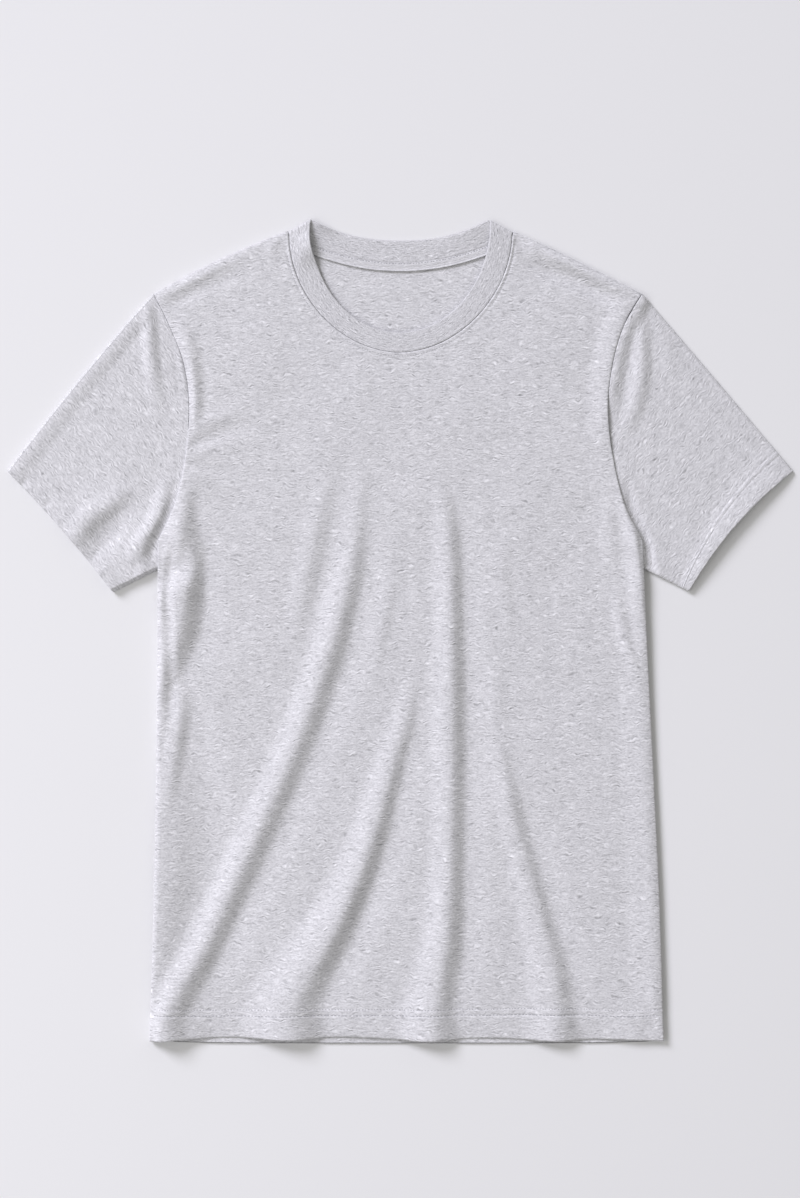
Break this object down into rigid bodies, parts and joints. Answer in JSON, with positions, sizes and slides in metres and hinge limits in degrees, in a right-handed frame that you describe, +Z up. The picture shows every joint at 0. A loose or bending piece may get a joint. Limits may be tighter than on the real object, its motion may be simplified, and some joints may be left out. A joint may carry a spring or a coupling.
{
  "type": "crew-neck t-shirt",
  "caption": "Short-sleeved crew-neck T-shirt in heather grey jersey with a ribbed neck band, laid flat with its front up and soft folds towards the hem.",
  "frame": {"origin": "under the middle of the shirt's outline, on the surface it lies on", "axes": "+Y towards the neck, +X towards the wearer's left side, +Z up out of the shirt's front"},
  "size_m": [0.7456, 0.7822, 0.0123],
  "materials": {
    "jersey": "soft matt single jersey, mottled along its courses",
    "rib": "matt 1x1 rib, folded double",
    "tape": "matt self-fabric tape with twin-needle stitching"
  },
  "bodies": {
    "root": {"front_panel": "jersey", "back_panel": "jersey", "sleeve_right": "jersey", "sleeve_left": "jersey", "neck_rib": "rib", "neck_tape": "tape"}
  },
  "joints": []
}
